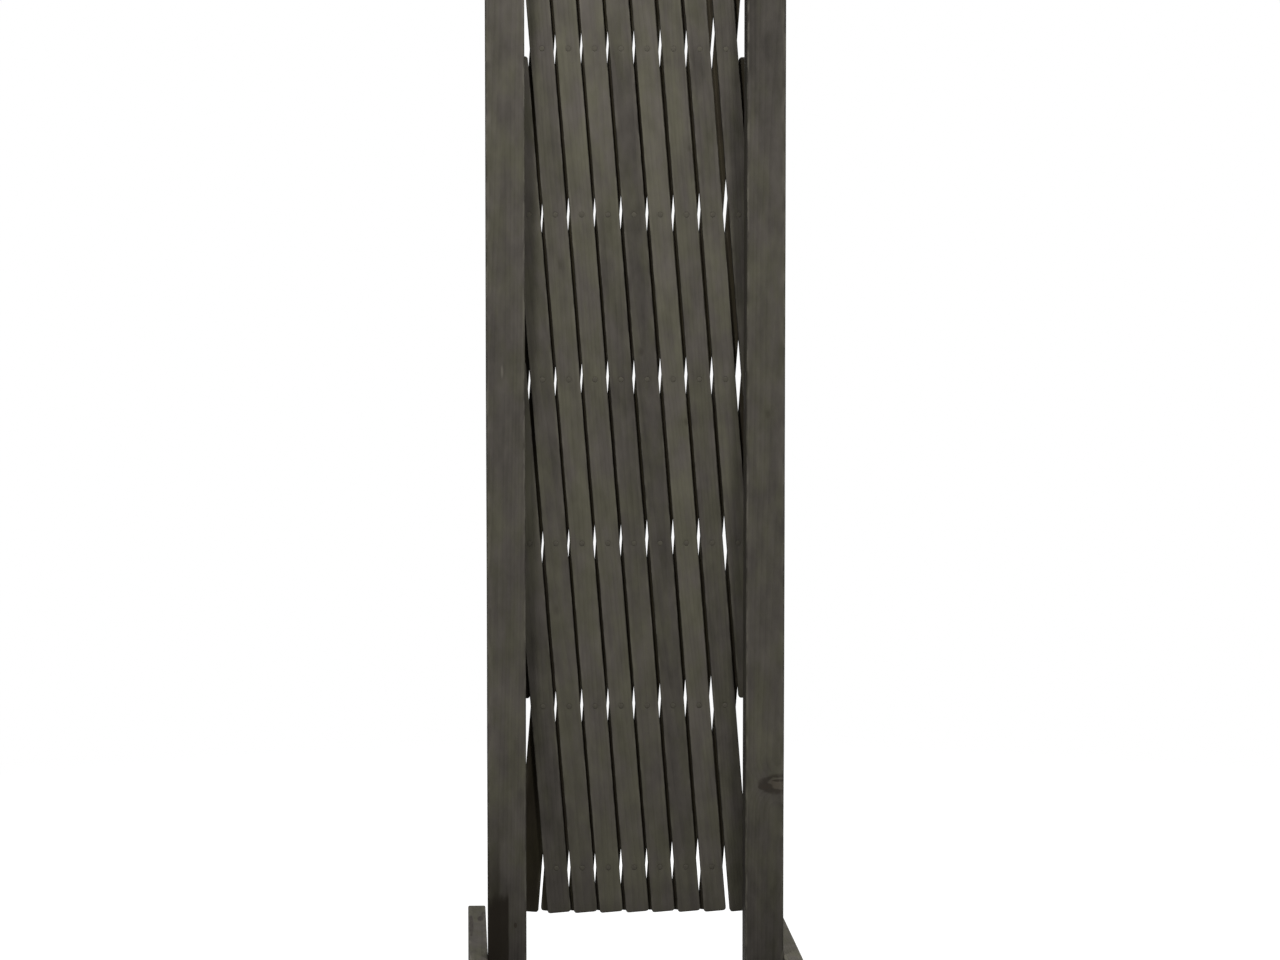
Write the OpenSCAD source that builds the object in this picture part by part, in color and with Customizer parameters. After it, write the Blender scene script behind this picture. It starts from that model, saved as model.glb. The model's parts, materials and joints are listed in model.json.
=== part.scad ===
// Expanding trellis fence: two posts on foot boards, joined by a riveted lattice that folds flat.
// X runs along the fence, Y points to the back and Z up. The origin is on the floor, midway
// between the posts. The fence is drawn folded shut.

/* [Posts] */
// Side of the square posts
post_w = 33; // [28:1:45]
// Height of the posts
post_h = 1010; // [970:10:1300]
// Chamfer on the edges of the posts and feet
edge_ease = 1.5; // [0.5:0.5:3]

/* [Feet] */
// Thickness of a foot board, across the fence
foot_t = 16; // [12:0.5:24]
// Height of a foot board
foot_h = 50; // [42:1:80]
// Length of a foot board, front to back
foot_l = 450; // [300:10:600]

/* [Lattice] */
// Width of a slat
slat_w = 19.6; // [16:0.1:22]
// Thickness of a slat
slat_t = 6; // [4:0.5:8]
// Distance between the rivets along a slat
pitch = 141.5; // [125:0.5:145]
// Space between neighbouring slats of one layer when the fence is folded
slat_gap = 2.8; // [2:0.2:6]
// Length of a slat beyond its outermost rivet, at the top and bottom of the lattice
end_over = 39; // [18:1:45]
// Length of a slat beyond the pivot screw behind a post
post_over = 15; // [12:1:18]
// Distance by which a loose slat end behind a post stops short of the next rivet place
loose_short = 7; // [4:1:14]
// Radius of the rounded corners at the slat ends
slat_corner = 2.5; // [1:0.5:5]
// Height of the posts above the slat ends
top_drop = 2; // [1:1:20]
// Running clearance between the layers, and between the lattice and the posts
layer_gap = 0.3; // [0.2:0.1:1]

/* [Rivets] */
// Diameter of a rivet's shank
rivet_d = 3; // [2.5:0.25:4]
// Diameter of a rivet's head
head_d = 4.5; // [4.5:0.25:6.5]
// Height of a rivet's head
head_h = 0.7; // [0.6:0.1:1.6]
// Diameter of the clenched end at the back
clench_d = 4.4; // [4.25:0.05:6]
// Clear width between the first rivet heads and a post
head_clear = 1.95; // [1:0.05:3]
// Play of a rivet or screw in its hole, on the radius
hole_play = 0.05; // [0.05:0.01:0.1]

/* [Screws] */
// Diameter of the pivot screws
pivot_d = 4; // [3.5:0.25:5]
// Depth of a pivot screw in its post
pivot_depth = 22; // [16:1:24]
// Diameter of the pivot screw's pan head
pan_d = 8; // [7:0.25:10]
// Height of the pivot screw's pan head
pan_h = 2.8; // [2:0.1:4]
// Diameter of the washers under the pan heads
washer_d = 12; // [11:0.5:15]
// Thickness of the washers
washer_t = 1; // [0.8:0.1:2]
// Diameter of the foot screws
screw_d = 4; // [3.5:0.25:5]
// Diameter of the foot screws' countersunk head
csk_d = 8; // [7.5:0.25:10]
// Depth of a foot screw in its post
screw_depth = 22; // [14:1:26]
// Distance between the two screws of a foot
screw_spacing = 26; // [20:1:30]

/* [Hidden] */
$fn = 48;
// Overshoot of a cut beyond the face that it enters or leaves
cut = 1;

// Pattern of the lattice: rivet rows 0 to row_top, rivet columns 0 to col_last. A rivet sits
// where a front slat (column plus row constant) crosses a back slat (column minus row constant).
slats = 10;
row_top = 6;
row_mid = row_top / 2;
col_last = 2 * (slats - 1);

// Folded lattice: parallel slats lie slat_w plus slat_gap apart, which fixes their lean
slat_pitch = slat_w + slat_gap;
lean = asin(slat_pitch / pitch) / 2;
half_col = pitch * sin(lean);
row_h = pitch * cos(lean);
end_rise = end_over * cos(lean) + slat_w / 2 * sin(lean);
mid_z = post_h - top_drop - end_rise - row_mid * row_h;

// Across the fence
pivot_x = col_last / 2 * half_col;
pivot_inset = half_col - head_d / 2 - head_clear;
post_x = pivot_x + post_w / 2 - pivot_inset;
foot_x = post_x + (post_w + foot_t) / 2;

// From front to back
post_back = post_w / 2;
front_y = post_back + layer_gap;
back_y = front_y + slat_t + layer_gap;
lattice_back = back_y + slat_t;
clench_y = lattice_back + hole_play;
clench_h = head_h;
washer_y = clench_y;

// Screw details
csk_h = (csk_d - screw_d) / 2;
tip_h = screw_d;
pivot_tip_h = pivot_d;
recess_w = 1;
foot_screw_z = [for (side = [-1, 1]) foot_h / 2 + side * screw_spacing / 2];

grey_stain = [0.32, 0.31, 0.28];
dark_stain = [0.27, 0.26, 0.24];
zinc = [0.62, 0.63, 0.62];

// Constant of slat k in each layer, counted from the left
function front_sum(k) = row_mid + 2 * (k - 1);
function back_diff(k) = -row_mid + 2 * (k - 1);
function is_front(sum) = sum >= front_sum(1) && sum <= front_sum(slats);
function is_back(diff) = diff >= back_diff(1) && diff <= back_diff(slats);

// Columns 0 and col_last lie behind the posts
function at_post(col) = col == 0 || col == col_last;
function post_pivot(col, row) = at_post(col) && row == row_mid;

// Slat length beyond its last rivet place
function overhang(col, row) =
    post_pivot(col, row) ? post_over : at_post(col) ? -loose_short : end_over;

// Rows that a slat reaches, and the rows where it is drilled
function front_rows(sum) = [max(0, sum - col_last), min(row_top, sum)];
function back_rows(diff) = [max(0, -diff), min(row_top, col_last - diff)];
function front_holes(sum) =
    [for (row = [front_rows(sum)[0]:front_rows(sum)[1]]) if (is_back(sum - 2 * row)) row];
function back_holes(diff) =
    [for (row = [back_rows(diff)[0]:back_rows(diff)[1]]) if (is_front(diff + 2 * row)) row];

// Box centred on X and Y, standing on z = 0, with every edge chamfered
module eased_box(size, ease) {
    module eased_outline(a, b) {
        x = a / 2;
        y = b / 2;
        polygon([
            [x - ease, -y], [x, -y + ease], [x, y - ease], [x - ease, y],
            [-x + ease, y], [-x, y - ease], [-x, -y + ease], [-x + ease, -y]
        ]);
    }
    translate([0, 0, size.z / 2])
        intersection() {
            linear_extrude(size.z, center = true) eased_outline(size.x, size.y);
            rotate([90, 0, 0]) linear_extrude(size.y, center = true) eased_outline(size.x, size.z);
            rotate([90, 0, 90]) linear_extrude(size.x, center = true) eased_outline(size.y, size.z);
        }
}

// Cylinder along +Y
module y_rod(d, length) {
    rotate([-90, 0, 0]) cylinder(d = d, h = length);
}

// Slat standing along Z, its front face at y = 0 and its middle row at z = 0
module slat(rows, overs, holes, pivot_row) {
    low = (rows[0] - row_mid) * pitch - overs[0];
    high = (rows[1] - row_mid) * pitch + overs[1];
    inner_w = slat_w - 2 * slat_corner;
    difference() {
        union() {
            translate([-slat_w / 2, 0, low + slat_corner])
                cube([slat_w, slat_t, high - low - 2 * slat_corner]);
            translate([-inner_w / 2, 0, low])
                cube([inner_w, slat_t, high - low]);
            for (x = [-inner_w / 2, inner_w / 2], z = [low + slat_corner, high - slat_corner])
                translate([x, 0, z]) y_rod(2 * slat_corner, slat_t);
        }
        for (row = holes)
            translate([0, -cut, (row - row_mid) * pitch])
                y_rod((row == pivot_row ? pivot_d : rivet_d) + 2 * hole_play, slat_t + 2 * cut);
    }
}

module front_slat(k) {
    sum = front_sum(k);
    rows = front_rows(sum);
    overs = [for (row = rows) overhang(sum - row, row)];
    pivot_row = k == 1 || k == slats ? row_mid : undef;
    color(grey_stain)
        translate([(sum - row_mid) * half_col - pivot_x, front_y, mid_z])
            rotate([0, -lean, 0])
                slat(rows, overs, front_holes(sum), pivot_row);
}

module back_slat(k) {
    diff = back_diff(k);
    rows = back_rows(diff);
    overs = [for (row = rows) overhang(diff + row, row)];
    pivot_row = k == 1 || k == slats ? row_mid : undef;
    color(dark_stain)
        translate([(diff + row_mid) * half_col - pivot_x, back_y, mid_z])
            rotate([0, lean, 0])
                slat(rows, overs, back_holes(diff), pivot_row);
}

// Rivet with a low head in front and a clenched end behind, its head seated at y = 0
module rivet() {
    head_top = head_d - 2 * head_h;
    rotate([-90, 0, 0]) {
        translate([0, 0, -head_h]) cylinder(d1 = head_top, d2 = head_d, h = head_h);
        cylinder(d = rivet_d, h = clench_y - front_y);
        translate([0, 0, clench_y - front_y]) cylinder(d1 = clench_d, d2 = rivet_d, h = clench_h);
    }
}

// The rivets that front slat k carries
module rivets(k) {
    sum = front_sum(k);
    color(dark_stain)
        for (row = front_holes(sum))
            if (!post_pivot(sum - row, row))
                translate([(sum - row) * half_col - pivot_x, front_y, mid_z + (row - row_mid) * row_h])
                    rivet();
}

module pivot_screw(side) {
    seat_y = washer_y + washer_t;
    shank = seat_y - post_back + pivot_depth - pivot_tip_h;
    color(zinc)
        translate([side * pivot_x, seat_y, mid_z])
            rotate([90, 0, 0])
                difference() {
                    union() {
                        translate([0, 0, -pan_h]) cylinder(d1 = pan_d - pan_h, d2 = pan_d, h = pan_h);
                        cylinder(d = pivot_d, h = shank);
                        translate([0, 0, shank]) cylinder(d1 = pivot_d, d2 = 0, h = pivot_tip_h);
                    }
                    translate([0, 0, -pan_h]) cross_recess(pan_d / 2, pan_h / 2);
                }
}

module pivot_washer(side) {
    color(zinc)
        translate([side * pivot_x, washer_y, mid_z])
            difference() {
                y_rod(washer_d, washer_t);
                translate([0, -cut, 0]) y_rod(pivot_d + 2 * hole_play, washer_t + 2 * cut);
            }
}

// Cross-shaped driver recess, cut depth deep into a head whose outer face is at z = 0
module cross_recess(span, depth) {
    for (turn = [0, 90])
        rotate(turn) cube([span, recess_w, 2 * depth], center = true);
}

// Hole for a pointed screw: a shank bore with a cone at its end, entered along +Z from z = 0
module screw_hole(d, depth, tip) {
    bore = d + 2 * hole_play;
    translate([0, 0, -cut]) cylinder(d = bore, h = depth - tip + cut);
    translate([0, 0, depth - tip]) cylinder(d1 = bore, d2 = 0, h = tip + hole_play);
}

// Places the children at a foot's screws, with +Z pointing from the foot's outer face inwards
module at_foot_screws(side) {
    for (z = foot_screw_z)
        translate([side * (foot_x + foot_t / 2), 0, z]) rotate([0, -side * 90, 0]) children();
}

module post(side) {
    color(grey_stain)
        difference() {
            translate([side * post_x, 0, 0]) eased_box([post_w, post_w, post_h], edge_ease);
            translate([side * pivot_x, post_back, mid_z])
                rotate([90, 0, 0]) screw_hole(pivot_d, pivot_depth, pivot_tip_h);
            at_foot_screws(side) screw_hole(screw_d, foot_t + screw_depth, tip_h);
        }
}

module foot(side) {
    color(grey_stain)
        difference() {
            translate([side * foot_x, 0, 0]) eased_box([foot_t, foot_l, foot_h], edge_ease);
            at_foot_screws(side) {
                screw_hole(screw_d, foot_t + screw_depth, tip_h);
                cylinder(d1 = csk_d, d2 = screw_d, h = csk_h);
            }
        }
}

module foot_screws(side) {
    shank = foot_t + screw_depth - tip_h;
    color(zinc)
        at_foot_screws(side)
            difference() {
                union() {
                    cylinder(d1 = csk_d, d2 = screw_d, h = csk_h);
                    cylinder(d = screw_d, h = shank);
                    translate([0, 0, shank]) cylinder(d1 = screw_d, d2 = 0, h = tip_h);
                }
                cross_recess(csk_d / 2, csk_h / 2);
            }
}

post(-1);  // left_post
post(1);  // right_post
foot(-1);  // left_foot
foot(1);  // right_foot
foot_screws(-1);  // left_foot_screws
foot_screws(1);  // right_foot_screws
pivot_screw(-1);  // left_pivot_screw
pivot_screw(1);  // right_pivot_screw
pivot_washer(-1);  // left_pivot_washer
pivot_washer(1);  // right_pivot_washer
for (k = [1:slats]) {
    front_slat(k);
    back_slat(k);
    rivets(k);
}
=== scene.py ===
# Expanding trellis fence: two square fir posts on foot boards, joined by a riveted lattice of thin
# slats that folds shut. X runs along the fence, Y to the back and Z up, in metres, as in the CAD part.
import json
import math
import random
from collections import namedtuple

import bmesh
import bpy
from mathutils import Matrix, Vector, noise


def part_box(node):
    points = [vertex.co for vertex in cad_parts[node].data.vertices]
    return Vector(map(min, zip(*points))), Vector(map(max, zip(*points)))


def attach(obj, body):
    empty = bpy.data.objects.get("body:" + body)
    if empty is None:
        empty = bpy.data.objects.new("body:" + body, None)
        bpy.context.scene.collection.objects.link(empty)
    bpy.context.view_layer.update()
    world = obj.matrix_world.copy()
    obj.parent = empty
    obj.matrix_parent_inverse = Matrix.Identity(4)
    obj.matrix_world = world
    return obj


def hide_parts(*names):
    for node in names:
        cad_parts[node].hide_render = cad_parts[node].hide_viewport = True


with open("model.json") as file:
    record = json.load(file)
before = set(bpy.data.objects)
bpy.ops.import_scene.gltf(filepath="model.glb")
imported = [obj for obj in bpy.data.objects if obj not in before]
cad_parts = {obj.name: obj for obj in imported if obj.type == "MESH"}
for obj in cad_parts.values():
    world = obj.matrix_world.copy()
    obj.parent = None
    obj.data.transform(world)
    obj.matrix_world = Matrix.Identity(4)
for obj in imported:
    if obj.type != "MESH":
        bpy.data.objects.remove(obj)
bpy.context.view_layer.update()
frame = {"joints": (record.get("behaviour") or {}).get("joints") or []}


# Posts: two lengths of square planed fir, stained dark grey all over, with eased edges.
# Each is bored at the back for the pivot screw of the lattice, and twice at the outer side for the
# screws of its foot board.
mm = 0.001
POST_EASE = 1.6 * mm
POST_STEP = 14 * mm
# A seat is a drilled place, in the middle of a square patch of the board that reaches half to each side.
# near and far list the hole's radius and depth from either face inwards.
Seat = namedtuple("Seat", "side slide along half near far")
HOLE_SIDES = 16
PATCH_HALF = 4.5 * mm
SCREW_BORE = 2.05 * mm
BORE_DEPTH = 22 * mm
BORE_TIP = 4 * mm
# Marks in the wood are measured across a board's faces or across its edges
FACE, EDGE = 0, 1


class Wire:
    """An output of a shader node. Sums, differences, products and quotients add the Math nodes."""

    def __init__(self, tree, socket=None):
        self.tree = tree
        self.socket = socket

    def node(self, kind, settings=None, sockets=None, output=0):
        """Adds a node, sets it up, feeds its sockets and gives back one of its outputs."""
        made = self.tree.nodes.new(kind)
        for field, value in (settings or {}).items():
            if field == "stops":
                stops = made.color_ramp.elements
                while len(stops) < len(value):
                    stops.new(1.0)
                for stop, (place, level) in zip(stops, value):
                    stop.position = place
                    stop.color = (level, level, level, 1.0)
            else:
                setattr(made, field, value)
        for key, value in (sockets or {}).items():
            if isinstance(value, Wire):
                self.tree.links.new(value.socket, made.inputs[key])
            else:
                made.inputs[key].default_value = value
        return Wire(self.tree, made.outputs[output]) if made.outputs else None

    def math(self, operation, *values):
        return self.node("ShaderNodeMath", {"operation": operation}, dict(enumerate((self, *values))))

    def __add__(self, other):
        return self.math("ADD", other)

    def __sub__(self, other):
        return self.math("SUBTRACT", other)

    def __rsub__(self, other):
        return self.node("ShaderNodeMath", {"operation": "SUBTRACT"}, {0: other, 1: self})

    def __mul__(self, other):
        return self.math("MULTIPLY", other)

    def __truediv__(self, other):
        return self.math("DIVIDE", other)

    def __rtruediv__(self, other):
        return self.node("ShaderNodeMath", {"operation": "DIVIDE"}, {0: other, 1: self})

    __radd__ = __add__
    __rmul__ = __mul__

    def step(self, start, end):
        """Rises smoothly from 0 at start to 1 at end."""
        ends = {"Value": self, "From Min": start, "From Max": end}
        return self.node("ShaderNodeMapRange", {"interpolation_type": "SMOOTHSTEP"}, ends)

    def parts(self):
        return [self.node("ShaderNodeSeparateXYZ", {}, {0: self}, axis) for axis in range(3)]

    def vector(self, operation, *values, output=0):
        sockets = dict(enumerate((self, *values)))
        return self.node("ShaderNodeVectorMath", {"operation": operation}, sockets, output)

    def scaled(self, factor):
        return self.node("ShaderNodeVectorMath", {"operation": "SCALE"}, {0: self, "Scale": factor})

    def between(self, first, second):
        """The first colour where this wire is 0, the second where it is 1."""
        return self.node("ShaderNodeMix", {"data_type": "RGBA"}, {0: self, 6: first, 7: second}, 2)

    def cloud(self, stretch, detail=2.0, roughness=0.5):
        """Soft noise about 0.5, stretch features to the metre along each axis of this vector."""
        sockets = {"Vector": self.vector("MULTIPLY", stretch), "Scale": 1.0}
        sockets.update({"Detail": detail, "Roughness": roughness})
        return self.node("ShaderNodeTexNoise", {}, sockets)

    def coat(self, finish):
        """Ends a material in a Principled shader, with this finish on its sockets."""
        surface = self.node("ShaderNodeBsdfPrincipled", {}, finish)
        self.node("ShaderNodeOutputMaterial", {}, {"Surface": surface})


def bare_material(name):
    """A material that has no nodes yet, and the wire to add them from."""
    material = bpy.data.materials.new(name)
    material.use_nodes = True
    material.node_tree.nodes.clear()
    return material, Wire(material.node_tree)


def shade(red, green, blue):
    """A colour as a paint card gives it, 0 to 255, in the linear values of a shader."""
    card = [channel / 255 for channel in (red, green, blue)]
    return tuple(c / 12.92 if c < 0.04045 else ((c + 0.055) / 1.055) ** 2.4 for c in card) + (1.0,)


def stained_fir(
    name, knots=(), knot_depth=0.68, scuffs=(), damp=None, rivet_pitch=None, edges=0.25, shade_behind=0.0,
):
    """Fir under a thin grey stain. A knot is (FACE or EDGE, across, along, half width, half height,
    share that stays pale at its heart), and knot_depth is how dark the knots are. A scuff is a knot's
    place and size. damp is (right edge, top) of the dark patch at a post's foot, rivet_pitch spaces the
    grimy rings round a slat's rivets, and edges is how much painted shade darkens the narrow sides,
    for the shade in the gaps. The last one is how far painted shade darkens and browns the front face,
    where the boards in front keep off the light."""
    material, sheet = bare_material(name)

    def read(attribute, output="Fac"):
        return sheet.node("ShaderNodeAttribute", {"attribute_name": attribute}, {}, output)

    grain = read("grain", "Vector")
    tone = read("tone")
    arris = read("arris")
    end_cut = read("end_cut")
    flank = read("flank")
    on_board = read("place", "Vector").parts()

    # Knots: faint pin knots strewn along the boards, and the larger ones of this board
    cells_across = 24.0
    cells_along = 3.4
    pin_radius = 1.2 * mm
    pin_spread = 1.6 * mm
    face = grain.vector("MULTIPLY", (1.0, 0.0, 1.0))
    strewn = {"Vector": face.vector("MULTIPLY", (cells_across, 1.0, cells_along)), "Scale": 1.0}
    cell = sheet.node("ShaderNodeTexVoronoi", {}, strewn, "Position")
    chance = sheet.node("ShaderNodeTexVoronoi", {}, strewn, "Color").parts()
    offset = face.vector("SUBTRACT", cell.vector("MULTIPLY", (1 / cells_across, 1.0, 1 / cells_along)))
    far = offset.vector("MULTIPLY", (1.0, 0.0, 0.7)).vector("LENGTH", output=1)
    pin = 1 - (far / (pin_radius + chance[1] * pin_spread)).step(0.3, 1.7)
    dark_knot = pin * chance[0].step(0.6, 0.7) * 0.5
    core_knot = 0.0
    bulge = dark_knot * (3 * mm)
    crumble = grain.cloud((190.0, 190.0, 190.0), 3.0) - 0.5

    def oval(axis, spot_across, spot_along, half_width, half_height):
        """How far across, along and in all a point is from a spot, in shares of the spot's size."""
        across = (on_board[axis] - spot_across) / half_width
        along = (on_board[2] - spot_along) / half_height
        return across, along, (across * across + along * along).math("SQRT") + crumble * 0.5

    for axis, knot_across, knot_along, half_width, half_height, heart in knots:
        across, along, far = oval(axis, knot_across, knot_along, half_width, half_height)
        heavy = (0 - along - across * 0.5).step(-0.7, 0.9)
        rim = (far + heavy * 0.24).step(heart - 0.15, heart + 0.1) * (1 - far.step(0.9, 1.25))
        dark_knot = dark_knot.math("MAXIMUM", rim)
        core_knot = (1 - far.step(0.4, 0.8)).math("MAXIMUM", core_knot)
        bulge = bulge + (1 - far.step(0.2, 3.0)) * half_height * 0.7

    # Growth rings round a pith that wanders along the board, and fibres drawn out along it
    ring_width = 3.1 * mm
    wander = (grain.cloud((24.0, 24.0, 1.7)) - 0.5) * (16 * mm)
    ripple = (grain.cloud((160.0, 160.0, 9.0)) - 0.5) * (1.2 * mm)
    across, through = grain.parts()[:2]
    radius = (across * across + through * through).math("SQRT") + wander + ripple + bulge
    phase = (radius / ring_width).math("FRACT")
    stops = ((0.0, 0.0), (0.45, 0.18), (0.8, 0.75), (0.92, 1.0), (1.0, 0.0))
    latewood = sheet.node("ShaderNodeValToRGB", {"stops": stops}, {"Fac": phase})
    fibre = grain.cloud((1300.0, 1300.0, 16.0), 3.0, 0.6)
    streak = grain.cloud((260.0, 260.0, 3.0), 2.0)
    plane_mark = grain.cloud((40.0, 40.0, 700.0), 1.0)

    # Stain: olive where it lies thick, browner where it is thin, and cloudy along the board
    mottle = grain.cloud((60.0, 60.0, 26.0), 4.0, 0.55)
    hue = (mottle + tone * 0.03 + (streak - 0.5) * 0.2).step(0.3, 0.7)
    stain = hue.between(shade(77, 73, 68), shade(78, 75.8, 64.5))
    patch = grain.cloud((75.0, 75.0, 34.0), 3.0, 0.55)
    depth = 0.97 + (patch - 0.5) * 0.74 + (streak - 0.5) * 0.14 + (fibre - 0.5) * 0.16
    depth = depth - latewood * 0.09 + tone * 0.1
    # Painted shade: the narrow sides and rounded corners are darkened by edges, for the shade in the
    # gaps between boards
    colour = stain.scaled(depth * (1 - flank * edges))
    # Painted shade: the front face darkens and browns where the boards in front keep the light off
    if shade_behind:
        shade_behind_mask = (1 - on_board[1].step(-2.6 * mm, 1 * mm)) * shade_behind
        colour = shade_behind_mask.between(colour, colour.vector("MULTIPLY", (0.46, 0.42, 0.34)))
    if knots:
        colour = (core_knot * 0.4).between(colour, shade(74, 65, 56))
    colour = (dark_knot * knot_depth).between(colour, shade(38, 33, 28))
    if rivet_pitch:
        turns = on_board[2] / rivet_pitch + 0.5
        along = (turns.math("FRACT") - 0.5) * rivet_pitch
        far = (on_board[0] * on_board[0] + along * along).math("SQRT") + crumble * (4 * mm)
        grime = 1 - far.step(1.8 * mm, 4.5 * mm)
        colour = (grime * 0.12).between(colour, shade(48, 45, 40))
    worn = arris * grain.cloud((300.0, 300.0, 60.0), 3.0).step(0.42, 0.66) * 0.4
    for place_and_size in scuffs:
        far = oval(*place_and_size)[2]
        worn = worn.math("MAXIMUM", (1 - far.step(0.4, 1.2)) * 0.35)
    colour = worn.between(colour, shade(112, 108, 98))
    colour = (end_cut * 0.6).between(colour, shade(58, 55, 49))
    if damp:
        damp_right, damp_top = damp
        ragged = (grain.cloud((120.0, 120.0, 45.0), 3.0) - 0.5) * (22 * mm)
        facing = 1 - on_board[1].step(-14 * mm, 4 * mm)
        inside = damp_right - on_board[0]
        rising = damp_top - on_board[2] - inside * 0.5 + ragged
        fading = 1 - on_board[2].step(95 * mm, 195 * mm)
        seep = facing * (inside + ragged * 0.12).step(5.5 * mm, 8.5 * mm) * fading
        colour = (seep * 0.66).between(colour, shade(37, 34, 27))
        wet = facing * (inside + ragged * 0.06).step(-0.8 * mm, 0.8 * mm) * rising.step(-8 * mm, 6 * mm)
        colour = (wet * (0.93 + (patch - 0.5) * 0.4)).between(colour, shade(30, 26, 21))

    roughness = 0.76 + (fibre - 0.5) * 0.16 + (mottle - 0.5) * 0.12 - dark_knot * 0.1
    height = fibre * 0.55 + latewood * 0.3 + plane_mark * 0.22 - dark_knot * 0.3
    relief = sheet.node("ShaderNodeBump", {}, {"Strength": 0.5, "Distance": 0.35 * mm, "Height": height})
    finish = {"Base Color": colour, "Roughness": roughness, "Normal": relief}
    finish["Specular IOR Level"] = 0.05
    sheet.coat(finish)
    return material


def grid_lines(low, high, spacing, seats):
    """Lines from low to high: five across every seat, and no two further apart than spacing."""
    marks = {low, high}
    for centre, half in seats:
        marks.update(centre + half * share for share in (-1.0, -0.5, 0.0, 0.5, 1.0))
    marks = sorted(marks)
    lines = [marks[0]]
    for mark in marks[1:]:
        start = lines[-1]
        if mark - start < 0.001 * mm:
            continue
        count = max(1, math.ceil((mark - start) / spacing - 1e-4))
        lines += [start + (mark - start) * share / count for share in range(1, count + 1)]
    return lines


def round_in(distance, radius):
    """How far a rounded edge lies inside the square one, at this distance from the end."""
    return 0.0 if distance >= radius else radius - math.sqrt(radius**2 - (radius - distance) ** 2)


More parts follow.
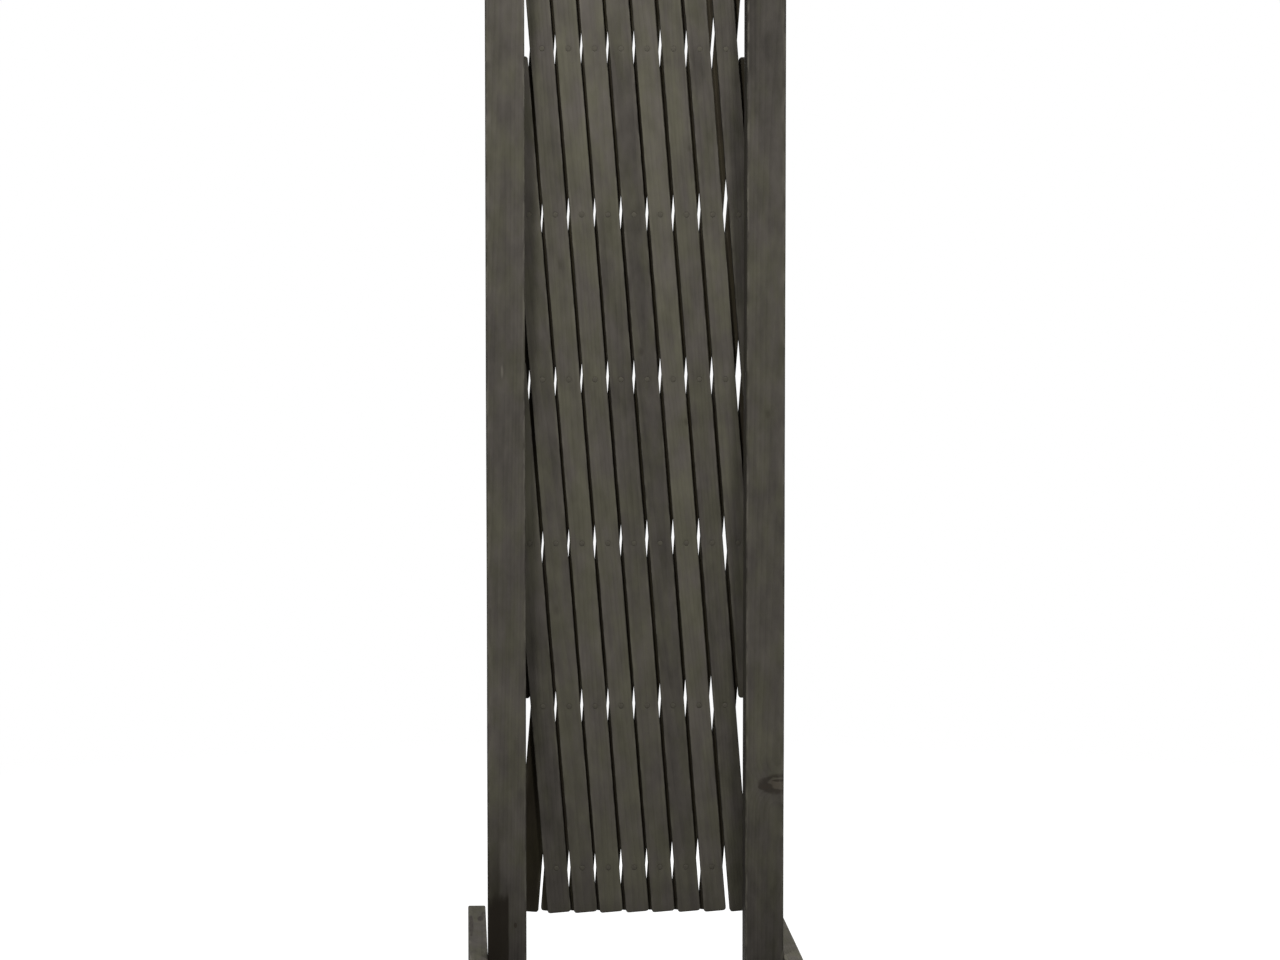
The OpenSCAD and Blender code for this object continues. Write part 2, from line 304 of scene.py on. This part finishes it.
def saw_board(
    name, width, depth, low, high, ease, corner, spacing, seats, tone, cutting, sway=0.3 * mm, aside=0.0,
):
    """A board along its own Z from low to high: width along X, depth along Y, drilled at its seats.
    sway is how far it bows sideways, and aside how far its middle lies to the right of Z."""
    bow_length = 280 * mm
    wave_length = 50 * mm
    nick_length = 17 * mm
    end_soak = 5 * mm
    bm = bmesh.new()
    place = bm.verts.layers.float_vector.new("place")
    grain = bm.verts.layers.float_vector.new("grain")
    arris = bm.verts.layers.float.new("arris")
    end_cut = bm.verts.layers.float.new("end_cut")
    # The narrow sides and rounded corners are marked for the painted shade that darkens them
    flank = bm.verts.layers.float.new("flank")
    toned = bm.verts.layers.float.new("tone")
    pith = Vector((cutting.uniform(12 * mm, 50 * mm), 0.0, 0.0))
    pith.rotate(Matrix.Rotation(cutting.uniform(0.0, math.tau), 3, "Z"))
    pith.z = cutting.uniform(-4.0, 4.0)
    slope = Vector((cutting.uniform(-0.02, 0.02), cutting.uniform(-0.02, 0.02), 0.0))
    drift = cutting.uniform(-50.0, 50.0)

    def vertex(x, y, z, wear=0.0, narrow=0.0, bent=True):
        x += aside
        bow = sway * noise.noise(Vector((drift, 0.0, z / bow_length))) if bent else 0.0
        made = bm.verts.new((x + bow, y, z))
        made[place] = (x, y, z)
        made[grain] = Vector((x, y, z)) + pith + slope * z
        made[arris] = wear
        made[flank] = narrow
        made[end_cut] = max(0.0, 1.0 - min(z - low, high - z) / end_soak)
        share = (z - low) / (high - low) * (len(tone) - 1)
        level = min(int(share), len(tone) - 2)
        made[toned] = tone[level] + (tone[level + 1] - tone[level]) * (share - level)
        return made

    # Each of the four sides runs along its own direction, with its own outward normal
    turns = [quarter * math.pi / 2 for quarter in range(4)]
    alongs = [Vector((math.cos(turn), math.sin(turn))) for turn in turns]
    outs = [Vector((way.y, -way.x)) for way in alongs]
    # The back and left sides share the lines of the front and right ones, in the other order
    flips = (1, 1, -1, -1)
    flat = (width / 2, depth / 2)
    lines = []
    for way in (0, 1):
        marks = [(seat.slide * flips[seat.side], seat.half) for seat in seats if seat.side % 2 == way]
        lines.append(grid_lines(ease - flat[way], flat[way] - ease, spacing / 3, marks))
    side_lines = lines + [[-u for u in reversed(line)] for line in lines]
    starts = [0]
    for side in range(3):
        starts.append(starts[-1] + len(side_lines[side]) + 2)

    reach = max(corner, ease)
    close = [reach * share for share in (0.0, 0.06, 0.2, 0.45, 0.75)]
    middle = grid_lines(low + reach, high - reach, spacing, [(seat.along, seat.half) for seat in seats])
    stations = [low + gap for gap in close] + middle + [high - gap for gap in reversed(close)]
    rings = []
    for z in stations:
        end = min(z - low, high - z)
        half = (flat[0] - round_in(end, corner), flat[1] - round_in(end, ease))
        radii = []
        for edge in range(4):
            uneven = noise.noise(Vector((drift + 7 * edge, z / wave_length, 0.0)))
            nick = max(0.0, noise.noise(Vector((drift - 9 * edge, z / nick_length, 3.0))) - 0.42)
            radii.append(ease * (1.0 + 0.28 * uneven + 0.9 * nick))
        ring = []
        for side in range(4):
            run, rise = half[side % 2], half[1 - side % 2]
            shrink = run / flat[side % 2]
            spots = [u * shrink for u in side_lines[side]]
            spots[0] = radii[side - 1] - run
            spots[-1] = run - radii[side]
            for u in spots:
                at = alongs[side] * u + outs[side] * rise
                wear = 0.45 if u in (spots[0], spots[-1]) else 0.0
                ring.append(vertex(at.x, at.y, z, wear, side % 2))
            centre = alongs[side] * spots[-1] + outs[side] * (rise - radii[side])
            for turn in (math.pi / 6, math.pi / 3):
                outward = outs[side] * math.cos(turn) + alongs[side] * math.sin(turn)
                at = centre + outward * radii[side]
                ring.append(vertex(at.x, at.y, z, 1.0, 0.5))
        rings.append(ring)

    # Drilled seats leave a patch of four by four faces open, filled by rings down into the hole
    around = [(2, 0), (2, 1), (2, 2), (1, 2), (0, 2), (-1, 2), (-2, 2), (-2, 1)]
    around += [(-over, -up) for over, up in around]
    drilled = set()

    def nearest(marks, value):
        return min(range(len(marks)), key=lambda spot: abs(marks[spot] - value))

    def drill(side, slide, along, profile, mirror):
        line = starts[side] + nearest(side_lines[side], slide)
        station = nearest(stations, along)
        drilled.update((station + up, line + over) for up in range(-2, 2) for over in range(-2, 2))
        loop = [rings[station + up][line + over * mirror] for over, up in around]
        rise = flat[1 - side % 2]
        for radius, sink in profile:
            if radius == 0.0:
                at = alongs[side] * slide + outs[side] * (rise - sink)
                tip = vertex(at.x, at.y, along, bent=False)
                for spot in range(HOLE_SIDES):
                    bm.faces.new((loop[spot - 1], loop[spot], tip))
                return None
            inner = []
            for spot in range(HOLE_SIDES):
                turn = math.tau * spot / HOLE_SIDES
                u = slide + mirror * radius * math.cos(turn)
                at = alongs[side] * u + outs[side] * (rise - sink)
                inner.append(vertex(at.x, at.y, along + radius * math.sin(turn), bent=False))
            for spot in range(HOLE_SIDES):
                bm.faces.new((loop[spot - 1], loop[spot], inner[spot], inner[spot - 1]))
            loop = inner
        return loop

    for seat in seats:
        near = drill(seat.side, seat.slide, seat.along, seat.near, 1)
        if seat.far:
            far = drill((seat.side + 2) % 4, -seat.slide, seat.along, seat.far, -1)
            for spot in range(HOLE_SIDES):
                bm.faces.new((near[spot - 1], near[spot], far[spot], far[spot - 1]))

    count = len(rings[0])
    for station in range(len(stations) - 1):
        for spot in range(count):
            if (station, spot) not in drilled:
                after = (spot + 1) % count
                lower, upper = rings[station], rings[station + 1]
                bm.faces.new((lower[spot], lower[after], upper[after], upper[spot]))
    for ring in (rings[0], rings[-1]):
        last = len(lines[0]) - 1
        for spot in range(last):
            back = starts[2] + last - spot
            bm.faces.new((ring[spot], ring[spot + 1], ring[back - 1], ring[back]))
        bm.faces.new(ring[last:starts[2] + 1])
        bm.faces.new(ring[starts[2] + last:] + ring[:1])
    bmesh.ops.delete(bm, geom=[v for v in bm.verts if not v.link_faces], context="VERTS")
    bmesh.ops.recalc_face_normals(bm, faces=bm.faces)
    mesh = bpy.data.meshes.new(name)
    bm.to_mesh(mesh)
    bm.free()
    mesh.polygons.foreach_set("use_smooth", [True] * len(mesh.polygons))
    return mesh


def fit_board(name, mesh, stand, material, body, node):
    """Puts a sawn board in its place, and lets it stand for its CAD node."""
    mesh.transform(stand)
    mesh.materials.append(material)
    piece = bpy.data.objects.new(name, mesh)
    bpy.context.scene.collection.objects.link(piece)
    flat_faces = piece.modifiers.new("flat_faces", "WEIGHTED_NORMAL")
    flat_faces.keep_sharp = True
    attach(piece, body)
    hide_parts(node)


pivots = {joint["name"]: Vector(joint["pos_m"]) for joint in frame["joints"]}
left_pivot = pivots["lattice_fold"]
FOOT_SCREWS = [12 * mm, 38 * mm]
FRONT, RIGHT, BACK, LEFT = range(4)
# A bruised rim, a straight wall, and a cone where the screw's point ends
bruised_rim = ((SCREW_BORE + 1.2 * mm, 0.0), (SCREW_BORE, 0.05 * mm))
post_bore = bruised_rim + ((SCREW_BORE, BORE_DEPTH - BORE_TIP), (0.0, BORE_DEPTH))
cutting = random.Random(7)
post_marks = {
    "left": {
        "damp": (1.2 * mm, 107 * mm),
        "knots": ((FACE, 7 * mm, 79 * mm, 1.1 * mm, 2.2 * mm, 0.0),),
        "scuffs": ((FACE, -3 * mm, 554 * mm, 1.2 * mm, 6 * mm),),
    },
    "right": {"knots": (
        (FACE, 15 * mm, 199 * mm, 19 * mm, 8 * mm, 0.8),
        (FACE, 13 * mm, 202.4 * mm, 5.5 * mm, 1 * mm, 0.0),
        (FACE, 0.5 * mm, 197.2 * mm, 6 * mm, 3 * mm, 0.0),
    )},
}
# How light each post is from the bottom to the top. Both are darker near the floor, and the right one
# at its top too.
post_tones = {
    "left": (-5.2, -1.2, 0.4, -0.9, -1.3, -1.1, -1.2, -1.1, -1.0),
    "right": (-3.9, -2.1, -0.2, -1.2, -1.4, -1.2, -2.2, -4.7, -5.6),
}
for hand, side in (("left", -1), ("right", 1)):
    low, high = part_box(f"{hand}_post")
    middle = (low + high) / 2
    pivot_slide = -(side * abs(left_pivot.x) - middle.x)
    outer = LEFT if side < 0 else RIGHT
    seats = [Seat(BACK, pivot_slide, left_pivot.z, PATCH_HALF, post_bore, None)]
    for height in FOOT_SCREWS:
        seats.append(Seat(outer, 0.0, height, PATCH_HALF, post_bore, None))
    mesh = saw_board(
        f"{hand}_post_wood", high.x - low.x, high.y - low.y, low.z, high.z,
        POST_EASE, POST_EASE, POST_STEP, seats, post_tones[hand], cutting,
    )
    fir = stained_fir(f"{hand}_post_fir", **post_marks[hand])
    stand = Matrix.Translation((middle.x, middle.y, 0.0))
    fit_board(f"{hand}_post_wood", mesh, stand, fir, f"{hand}_frame", f"{hand}_post")


# Feet: a fir board set on edge across the outer side of each post, so that the fence stands up.
# Two countersunk holes take the screws that hold it to the post.
FOOT_EASE = 1.5 * mm
FOOT_STEP = 12 * mm
SUNK_PATCH_HALF = 6 * mm
sunk_hole = ((5.0 * mm, 0.0), (4.1 * mm, 0.06 * mm), (SCREW_BORE, 2.12 * mm))
bored_hole = ((3.2 * mm, 0.0), (SCREW_BORE, 0.05 * mm))
foot_marks = {
    "left": (
        (EDGE, 2.8 * mm, 162 * mm, 2.5 * mm, 11 * mm, 0.0),
        (EDGE, 6.4 * mm, 180 * mm, 2.2 * mm, 13 * mm, 0.0),
        (EDGE, -5.8 * mm, 131 * mm, 2.0 * mm, 44 * mm, 0.0),
        (FACE, 10 * mm, -100 * mm, 5 * mm, 6 * mm, 0.6),
        (FACE, -8 * mm, 120 * mm, 6 * mm, 7 * mm, 0.6),
    ),
    "right": (
        (FACE, -9 * mm, 60 * mm, 5 * mm, 6 * mm, 0.6),
        (FACE, 12 * mm, -150 * mm, 4 * mm, 5 * mm, 0.6),
    ),
}
foot_tones = {"left": (-1.6, -1.6), "right": (-0.3, -0.3)}
for hand, side in (("left", -1), ("right", 1)):
    low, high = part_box(f"{hand}_foot")
    middle = (low + high) / 2
    outer = BACK if side > 0 else FRONT
    seats = []
    for height in FOOT_SCREWS:
        slide = (middle.z - height) * side
        seats.append(Seat(outer, slide, 0.0, SUNK_PATCH_HALF, sunk_hole, bored_hole))
    mesh = saw_board(
        f"{hand}_foot_wood", high.z - low.z, high.x - low.x, low.y, high.y,
        FOOT_EASE, FOOT_EASE, FOOT_STEP, seats, foot_tones[hand], cutting, sway=0.0,
    )
    fir = stained_fir(f"{hand}_foot_fir", foot_marks[hand], knot_depth=1.0, edges=0.0)
    # The board's own axes: width up, depth along the fence, length to the back
    stand = Matrix(((0, 1, 0, middle.x), (0, 0, 1, middle.y), (1, 0, 0, middle.z), (0, 0, 0, 1)))
    fit_board(f"{hand}_foot_wood", mesh, stand, fir, f"{hand}_frame", f"{hand}_foot")


# Foot screws: zinc-plated countersunk wood screws with a rolled thread, two in each foot.
# They are driven from the foot's outer face into the post until the heads lie flush.
SCREW_SIDES = 24
SCREW_RADIUS = 2 * mm
SCREW_POINT = 4 * mm
FOOT_SCREW_LENGTH = 38 * mm
THREAD_PITCH = 1.8 * mm
THREAD_RISE = 0.55 * mm
# The ridge's half width, as a share of the pitch
RIDGE_HALF = 0.3
TURN_STEP = 0.3 * mm


def zinc_plate():
    """Bright zinc on steel, a little clouded, with fine marks from tumbling and driving."""
    material, sheet = bare_material("zinc_plate")
    spot = sheet.node("ShaderNodeTexCoord", {}, {}, "Object")
    cloudy = spot.cloud((700.0, 700.0, 700.0), 3.0)
    marks = spot.cloud((5000.0, 900.0, 5000.0), 2.0, 0.7)
    grime = spot.cloud((320.0, 320.0, 320.0), 4.0, 0.65).step(0.52, 0.74)
    bright = cloudy.between(shade(166, 167, 164), shade(198, 200, 198))
    colour = (grime * 0.5).between(bright, shade(104, 98, 86))
    roughness = 0.3 + cloudy * 0.14 + marks * 0.1 + grime * 0.2
    height = marks * 0.6 + cloudy * 0.4
    relief = sheet.node("ShaderNodeBump", {}, {"Strength": 0.25, "Distance": 0.1 * mm, "Height": height})
    sheet.coat({"Base Color": colour, "Metallic": 1.0, "Roughness": roughness, "Normal": relief})
    return material


def plain_rows(outline):
    """Rows of a turned piece with no thread, from radii and heights in millimetres."""
    return [(radius * mm, height * mm, 0.0) for radius, height in outline]


def turn_piece(bm, profile, seat, sides, closed=False):
    """Turns rows of (radius, height, thread) round the seat's Z axis. thread is the ridge's height."""
    rows = []
    for radius, height, thread in profile:
        if radius == 0.0:
            rows.append([bm.verts.new(seat @ Vector((0.0, 0.0, height)))])
            continue
        row = []
        for spot in range(sides):
            turn = math.tau * spot / sides
            phase = (height / THREAD_PITCH - spot / sides) % 1.0
            ridge = thread * max(0.0, 1.0 - abs(phase - 0.5) / RIDGE_HALF)
            out = radius + ridge
            spot_place = Vector((out * math.cos(turn), out * math.sin(turn), height))
            row.append(bm.verts.new(seat @ spot_place))
        rows.append(row)
    pairs = list(zip(rows, rows[1:]))
    if closed:
        pairs.append((rows[-1], rows[0]))
    for lower, upper in pairs:
        for spot in range(sides):
            corners = [lower[spot % len(lower)], lower[(spot + 1) % sides % len(lower)]]
            corners += [upper[(spot + 1) % sides % len(upper)], upper[spot % len(upper)]]
            kept = list(dict.fromkeys(corners))
            if len(kept) > 2:
                bm.faces.new(kept)


def screw_profile(head, start, end):
    """The head's rows, a shank with a rolled thread from start, and a point that ends at end."""
    core = SCREW_RADIUS - THREAD_RISE
    rows = list(head)
    threaded = end - SCREW_POINT - start
    count = math.ceil(threaded / TURN_STEP)
    for number in range(count + 1):
        rows.append((core, start + threaded * number / count, THREAD_RISE))
    points = 10
    for number in range(1, points):
        left = 1 - number / points
        rows.append((core * left + 0.1 * mm, end - SCREW_POINT * left, THREAD_RISE * left))
    rows.append((0.0, end, 0.0))
    return rows


def mesh_piece(name, bm):
    """A smooth piece from a finished bmesh."""
    bmesh.ops.recalc_face_normals(bm, faces=bm.faces)
    mesh = bpy.data.meshes.new(name)
    bm.to_mesh(mesh)
    bm.free()
    mesh.polygons.foreach_set("use_smooth", [True] * len(mesh.polygons))
    piece = bpy.data.objects.new(name, mesh)
    bpy.context.scene.collection.objects.link(piece)
    return piece


def fit_metal(piece, material, body, node):
    """Gives a metal piece its finish, keeps its edges crisp, and lets it stand for its CAD node."""
    piece.data.materials.append(material)
    piece.data.set_sharp_from_angle(angle=math.radians(38))
    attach(piece, body)
    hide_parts(node)


zinc = zinc_plate()
sunk_outline = [(0.0, 0.12), (1.6, 0.1), (3.1, 0.07), (3.85, 0.12), (3.98, 0.25), (3.8, 0.45)]
sunk_outline += [(1.95, 2.15), (1.6, 3.0)]
foot_screw_rows = screw_profile(plain_rows(sunk_outline), 3.3 * mm, FOOT_SCREW_LENGTH)
for hand, side in (("left", -1), ("right", 1)):
    low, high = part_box(f"{hand}_foot_screws")
    face_x = low.x if side < 0 else high.x
    bm = bmesh.new()
    for number, height in enumerate(FOOT_SCREWS):
        inward = Matrix.Rotation(-side * math.pi / 2, 4, "Y")
        driven_turn = Matrix.Rotation(0.4 + 0.7 * number, 4, "Z")
        seat = Matrix.Translation((face_x, 0.0, height)) @ (inward @ driven_turn)
        turn_piece(bm, foot_screw_rows, seat, SCREW_SIDES)
    screws = mesh_piece(f"{hand}_foot_screw_pair", bm)
    fit_metal(screws, zinc, f"{hand}_frame", f"{hand}_foot_screws")


# Front slats: ten thin fir strips, planed and stained, leaning to the left and lying against the
# backs of the posts. Their ends are cut square with rounded corners, and every crossing is drilled.
SLAT_WIDTH = 19.6 * mm
SLAT_EASE = 0.7 * mm
SLAT_CORNER = 2.5 * mm
SLAT_STEP = 12 * mm
SLAT_SWAY = 0.5 * mm
RIVET_BORE = 1.55 * mm
TONE_LEVELS = 5
SLATS = 10
TOP_ROW = 6
MIDDLE_ROW = 3
LAST_COLUMN = 2 * (SLATS - 1)
# One step up a back slat from rivet to rivet
rivet_step = pivots["front_slat_3_pivot"] - pivots["front_slat_2_pivot"]
lean = math.atan2(rivet_step.x, rivet_step.z)


def crossing(column, row):
    """Where a rivet column and row meet, on the fence's middle plane."""
    return left_pivot + Vector((column * rivet_step.x, 0.0, (row - MIDDLE_ROW) * rivet_step.z))


def at_post(column, row):
    """Whether a crossing is one of the two that are screwed to the posts."""
    return row == MIDDLE_ROW and column in (0, LAST_COLUMN)


def crossed_rows(number, front):
    """The rows where a slat, counted from the left, is drilled, with their columns."""
    places = []
    for row in range(TOP_ROW + 1):
        if front:
            column = MIDDLE_ROW + 2 * (number - 1) - row
            other = (column - row + MIDDLE_ROW) / 2
        else:
            column = row - MIDDLE_ROW + 2 * (number - 1)
            other = (column + row - MIDDLE_ROW) / 2
        if 0 <= column <= LAST_COLUMN and 0 <= other <= SLATS - 1:
            places.append((column, row))
    return places


def saw_slat(name, number, front, extra_width, aside, tone, cutting):
    """One slat of the lattice as a mesh, with its place. Its holes miss its middle by aside."""
    low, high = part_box(name)
    tilt = -lean if front else lean
    middle_column = 2 * (number - 1)
    foot = crossing(middle_column, MIDDLE_ROW)
    drop = (SLAT_WIDTH / 2 - SLAT_CORNER) * math.sin(lean) + SLAT_CORNER
    lower = (low.z - foot.z + drop) / math.cos(lean) - SLAT_CORNER
    upper = (high.z - foot.z - drop) / math.cos(lean) + SLAT_CORNER
    seats = []
    for column, row in crossed_rows(number, front):
        along = (row - MIDDLE_ROW) * rivet_step.length
        bore = SCREW_BORE if at_post(column, row) else RIVET_BORE
        # The wood is pressed in a little round each hole
        pressed = ((3.5 * mm, 0.0), (2.8 * mm, 0.1 * mm), (bore, 0.16 * mm))
        seats.append(Seat(FRONT, -aside, along, PATCH_HALF, pressed, pressed))
    mesh = saw_board(
        name, SLAT_WIDTH + extra_width, high.y - low.y, lower, upper,
        SLAT_EASE, SLAT_CORNER, SLAT_STEP, seats, tone, cutting, SLAT_SWAY, aside,
    )
    stand = Matrix.Translation((foot.x, (low.y + high.y) / 2, foot.z)) @ Matrix.Rotation(tilt, 4, "Y")
    return mesh, stand


slat_fir = stained_fir("slat_fir", rivet_pitch=rivet_step.length, edges=0.7)
# The strips were drilled by eye, so each lies a little to one side of its rivets
front_aside = [-0.6, -0.3, -0.1, 0.0, 0.0, 0.0, -0.1, -0.2, -0.6, 0.7]
# The strips on the left are a little wider, and close up more, than those on the right
front_widest = 0.5
front_taper = 0.021
for number in range(1, SLATS + 1):
    node = f"front_slat_{number}"
    extra = (front_widest - front_taper * (number - 1) ** 2) * mm
    tones = [cutting.uniform(-2.5, 1.9) for level in range(TONE_LEVELS)]
    aside = front_aside[number - 1] * mm
    mesh, stand = saw_slat(node, number, True, extra, aside, tones, cutting)
    fit_board(f"{node}_wood", mesh, stand, slat_fir, node, node)


# Back slats: ten more of the same strips behind the front ones, leaning the other way.
# Their front faces get painted shade, darker and browner, for the shade of the front slats over them.
back_fir = stained_fir("back_slat_fir", rivet_pitch=rivet_step.length, edges=0.5, shade_behind=1.0)
back_aside = [0.4, 0.2, 0.0, 0.0, 0.0, 0.0, -0.1, -0.3, -0.7, 0.8]
back_widest = 0.9
back_taper = 0.023
for number in range(1, SLATS + 1):
    node = f"back_slat_{number}"
    extra = (back_widest - back_taper * (number - 1) ** 2) * mm
    tones = [cutting.uniform(-2.2, 0.8) for level in range(TONE_LEVELS)]
    aside = back_aside[number - 1] * mm
    mesh, stand = saw_slat(node, number, False, extra, aside, tones, cutting)
    fit_board(f"{node}_wood", mesh, stand, back_fir, node, node)


# Rivets: soft steel, with a low head pressed into the front slat and the end rolled over behind the
# back slat. They were stained over with the wood, so they show only as small dark dots.
RIVET_SIDES = 20


def stained_rivet():
    """Rivet steel under the wood's stain, rubbed through to metal in a few spots."""
    material, sheet = bare_material("stained_rivet")
    spot = sheet.node("ShaderNodeTexCoord", {}, {}, "Object")
    film = spot.cloud((420.0, 420.0, 420.0), 3.0)
    rubbed = spot.cloud((900.0, 900.0, 900.0), 3.0, 0.6).step(0.62, 0.7)
    painted = film.between(shade(64, 61, 54), shade(76, 73, 64))
    colour = (rubbed * 0.2).between(painted, shade(112, 108, 100))
    roughness = 0.76 + film * 0.16 - rubbed * 0.2
    relief = sheet.node("ShaderNodeBump", {}, {"Strength": 0.3, "Distance": 0.1 * mm, "Height": film})
    finish = {"Base Color": colour, "Metallic": rubbed * 0.4, "Roughness": roughness, "Normal": relief}
    finish["Specular IOR Level"] = 0.1
    sheet.coat(finish)
    return material


rivet_paint = stained_rivet()
front_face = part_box("front_slat_1")[0].y
# What a rivet holds together, in millimetres: both slats and the play between them
grip = (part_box("back_slat_1")[1].y - front_face) / mm
rivet_outline = [(0.0, -0.3), (0.65, -0.29), (1.25, -0.26), (1.75, -0.18), (2.1, -0.05), (2.25, 0.07)]
rivet_outline += [(2.2, 0.18), (1.5, 0.2), (1.5, grip - 0.2)]
rolled_end = [(2.1, -0.18), (2.2, 0.2), (2.0, 0.6), (1.5, 0.86), (1.0, 0.78), (0.6, 0.5), (0.0, 0.4)]
rivet_outline += [(radius, grip + height) for radius, height in rolled_end]
rivet_rows = plain_rows(rivet_outline)
for number in range(1, SLATS + 1):
    bm = bmesh.new()
    for column, row in crossed_rows(number, True):
        if not at_post(column, row):
            place = crossing(column, row)
            inward = Matrix.Rotation(-math.pi / 2, 4, "X") @ Matrix.Rotation(0.3 * row, 4, "Z")
            seat = Matrix.Translation((place.x, front_face, place.z)) @ inward
            turn_piece(bm, rivet_rows, seat, RIVET_SIDES)
    rivets = mesh_piece(f"rivet_row_{number}", bm)
    fit_metal(rivets, rivet_paint, f"front_slat_{number}", f"rivets_{number}")


# Pivot screws and washers: a zinc-plated pan-head screw on a plain washer at each end of the middle
# row, driven from the back through both end slats into the post, so that the lattice can turn on it.
WASHER_SIDES = 32
pan_outline = [(0.0, -2.8), (1.5, -2.76), (2.6, -2.5), (3.4, -1.95), (3.85, -1.2), (4.0, -0.45)]
pan_outline += [(3.92, 0.0), (1.95, 0.02)]
pan_head = plain_rows(pan_outline)
washer_outline = [(2.15, 0.14), (2.32, 0.0), (5.8, 0.0), (6.0, 0.16), (6.0, 0.84), (5.82, 1.0)]
washer_outline += [(2.3, 1.0), (2.15, 0.88)]
washer_rows = plain_rows(washer_outline)
for hand, side in (("left", -1), ("right", 1)):
    low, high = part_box(f"{hand}_pivot_washer")
    middle = (low + high) / 2
    inward = Matrix.Rotation(math.pi / 2, 4, "X") @ Matrix.Rotation(0.5 * side, 4, "Z")
    washer_seat = Matrix.Translation((middle.x, high.y, middle.z)) @ inward
    bm = bmesh.new()
    turn_piece(bm, washer_rows, washer_seat, WASHER_SIDES, closed=True)
    washer = mesh_piece(f"{hand}_washer_ring", bm)
    fit_metal(washer, zinc, f"{hand}_frame", f"{hand}_pivot_washer")
    reach = high.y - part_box(f"{hand}_pivot_screw")[0].y
    bm = bmesh.new()
    turn_piece(bm, screw_profile(pan_head, 0.3 * mm, reach), washer_seat, SCREW_SIDES)
    screw = mesh_piece(f"{hand}_pan_screw", bm)
    fit_metal(screw, zinc, f"{hand}_frame", f"{hand}_pivot_screw")


# Studio: a pale floor that runs out to plain white, two narrow strip lamps above and in front, and a
# broad lamp behind. The floor keeps the fence's soft shadow.
FLOOR_HALF = 6.0
FLOOR_SQUARES = 24
FLOOR_GLOW = 0.82
AMBIENT = 0.25
WHITE = (1.0, 1.0, 1.0, 1.0)


def looked_at(sheet):
    """1 for what the camera sees, also in gloss or through glass, and 0 for other light."""
    seen = sheet.node("ShaderNodeLightPath", {}, {}, "Is Camera Ray")
    for ray in ("Is Glossy Ray", "Is Transmission Ray"):
        seen = seen.math("MAXIMUM", sheet.node("ShaderNodeLightPath", {}, {}, ray))
    return seen


def pale_floor():
    """Grey paper that the camera sees near white, with the shadow, and plain white further off."""
    material, sheet = bare_material("pale_floor")
    spot = sheet.node("ShaderNodeTexCoord", {}, {}, "Object")
    speckle = spot.cloud((30.0, 30.0, 30.0), 3.0)
    paper = speckle.between((0.27, 0.27, 0.27, 1.0), (0.3, 0.3, 0.3, 1.0))
    lit = sheet.node("ShaderNodeBsdfDiffuse", {}, {"Color": paper})
    glow = sheet.node("ShaderNodeEmission", {}, {"Color": WHITE, "Strength": FLOOR_GLOW})
    near = sheet.node("ShaderNodeAddShader", {}, {0: lit, 1: glow})
    white = sheet.node("ShaderNodeEmission", {}, {"Color": WHITE, "Strength": 1.0})
    far = spot.vector("LENGTH", output=1).step(0.7, 1.6)
    shown = sheet.node("ShaderNodeMixShader", {}, {0: far, 1: near, 2: white})
    surface = sheet.node("ShaderNodeMixShader", {}, {0: looked_at(sheet), 1: lit, 2: shown})
    sheet.node("ShaderNodeOutputMaterial", {}, {"Surface": surface})
    return material


bm = bmesh.new()
bmesh.ops.create_grid(bm, x_segments=FLOOR_SQUARES, y_segments=FLOOR_SQUARES, size=FLOOR_HALF)
floor = mesh_piece("studio_floor", bm)
floor.data.materials.append(pale_floor())


def strip_lamp(name, place, aim, width, height, power):
    """A rectangular lamp at a place, turned to its aim, that the camera doesn't see."""
    lamp = bpy.data.lights.new(name, "AREA")
    lamp.shape = "RECTANGLE"
    lamp.size = width
    lamp.size_y = height
    lamp.energy = power
    holder = bpy.data.objects.new(name, lamp)
    holder.location = place
    holder.visible_camera = False
    holder.rotation_euler = (Vector(aim) - Vector(place)).to_track_quat("-Z", "Y").to_euler()
    bpy.context.scene.collection.objects.link(holder)
    return holder


front_aim = (0.0, 0.0, 0.8)
back_aim = (0.0, 0.0, 0.55)
strip_lamp("left_strip", (-0.44, -1.1, 1.72), front_aim, width=0.2, height=1.0, power=20.2)
strip_lamp("right_strip", (0.44, -1.1, 1.72), front_aim, width=0.2, height=1.0, power=18.2)
back_lamp = strip_lamp("back_strip", (0.4, 2.0, 1.5), back_aim, width=1.0, height=1.2, power=50.0)
back_lamp.visible_glossy = False
world = bpy.data.worlds.new("studio")
world.use_nodes = True
world.node_tree.nodes.clear()
sky = Wire(world.node_tree)
ambient = sky.node("ShaderNodeBackground", {}, {"Color": WHITE, "Strength": AMBIENT})
backdrop = sky.node("ShaderNodeBackground", {}, {"Color": WHITE, "Strength": 1.0})
shown = sky.node("ShaderNodeMixShader", {}, {0: looked_at(sky), 1: ambient, 2: backdrop})
sky.node("ShaderNodeOutputWorld", {}, {"Surface": shown})
bpy.context.scene.world = world
bpy.context.scene.view_settings.view_transform = "Standard"


# Camera: three metres in front, a little to the left and above the middle, with a long lens, so that
# the top and the bottom of the fence run out of the picture.
camera_place = Vector((-0.1553, -3.0535, 0.6856))
camera_aim = Vector((0.0042, 0.0, 0.4601))
camera_data = bpy.data.cameras.new("camera")
camera_data.sensor_width = 36.0
camera_data.lens = 100.83
camera = bpy.data.objects.new("camera", camera_data)
camera.location = camera_place
camera.rotation_euler = (camera_aim - camera_place).to_track_quat("-Z", "Y").to_euler()
bpy.context.scene.collection.objects.link(camera)
bpy.context.scene.camera = camera
